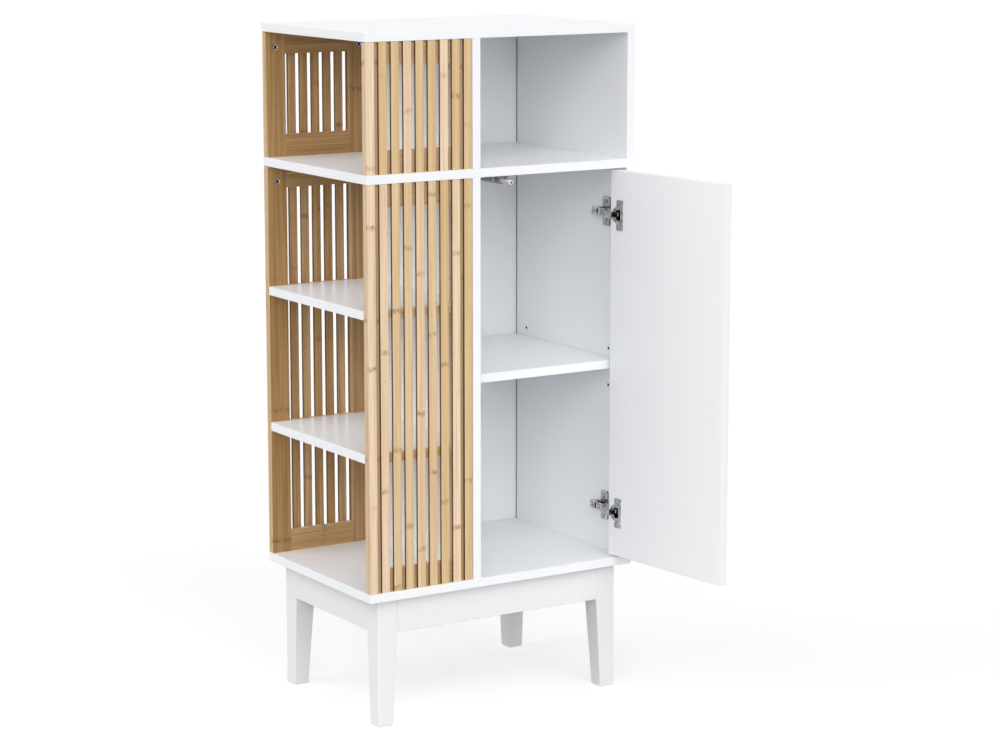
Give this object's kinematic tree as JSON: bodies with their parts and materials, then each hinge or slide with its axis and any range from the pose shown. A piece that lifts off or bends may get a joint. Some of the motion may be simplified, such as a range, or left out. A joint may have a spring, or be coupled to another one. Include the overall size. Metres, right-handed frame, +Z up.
{
  "type": "bathroom cabinet",
  "caption": "Free-standing bathroom cabinet with an open slatted bay, an open niche, a cupboard with an inset push-to-open door, and tapered legs.",
  "frame": {"origin": "on the floor, under the middle of the carcass", "axes": "+X to the right as seen from the front, +Y to the back, +Z up"},
  "size_m": [0.5259, 0.6239, 1.15],
  "materials": {
    "white_board": "satin white lacquer on board",
    "white_wood": "satin white paint on solid wood",
    "bamboo": "satin clear lacquer, grain along the slats",
    "nickel_steel": "bright nickel plate",
    "screw_steel": "zinc plate",
    "zinc": "cast zinc",
    "beech": "raw turned beech",
    "grey_plastic": "moulded",
    "pale_plastic": "moulded",
    "tip_rubber": "soft tip"
  },
  "bodies": {
    "cabinet": {"top_panel": "white_board", "middle_panel": "white_board", "bottom_panel": "white_board", "right_side_panel": "white_board", "upper_divider": "white_board", "lower_divider": "white_board", "upper_back_panel": "white_board", "lower_back_panel": "white_board", "bay_shelf_upper": "white_board", "bay_shelf_lower": "white_board", "cupboard_shelf": "white_board", "leg_front_left": "white_wood", "leg_front_right": "white_wood", "leg_back_left": "white_wood", "leg_back_right": "white_wood", "apron_front": "white_wood", "apron_back": "white_wood", "apron_left": "white_wood", "apron_right": "white_wood", "front_upper_slats": "bamboo", "front_upper_rails": "bamboo", "front_upper_stiles": "bamboo", "front_lower_slats": "bamboo", "front_lower_rails": "bamboo", "front_lower_stiles": "bamboo", "back_upper_slats": "bamboo", "back_upper_rails": "bamboo", "back_upper_stiles": "bamboo", "back_lower_slats": "bamboo", "back_lower_rails": "bamboo", "back_lower_stiles": "bamboo", "hinge_arm_upper": "nickel_steel", "hinge_arm_lower": "nickel_steel", "hinge_plate_upper": "nickel_steel", "hinge_plate_lower": "nickel_steel", "plate_screws": "screw_steel", "arm_screws": "screw_steel", "latch_screws": "screw_steel", "bracket_screws": "screw_steel", "cam_locks": "zinc", "cam_bolts": "zinc", "shelf_pins": "zinc", "base_brackets": "zinc", "carcass_dowels": "beech", "panel_dowels": "beech", "apron_dowels": "beech", "latch_body": "grey_plastic"},
    "door": {"door_panel": "white_board", "hinge_cup_upper": "nickel_steel", "hinge_cup_lower": "nickel_steel", "cup_screws": "screw_steel", "hinge_pins": "nickel_steel"},
    "latch_plunger": {"latch_plunger": "pale_plastic", "latch_tip": "tip_rubber"}
  },
  "joints": [
    {"name": "door_swing", "type": "hinge", "parent": "cabinet", "child": "door", "pos_m": [0.2324, -0.1705, 0.57075], "axis": [0, 0, 1], "range_deg": [-95.5, 0]},
    {"name": "latch_travel", "type": "slide", "parent": "cabinet", "child": "latch_plunger", "axis": [0, 1, 0], "range_m": [0, 0.0273]}
  ],
  "couplings": [
    {"joint": "latch_travel", "follows": "door_swing", "m_per_rad": -0.016319}
  ]
}
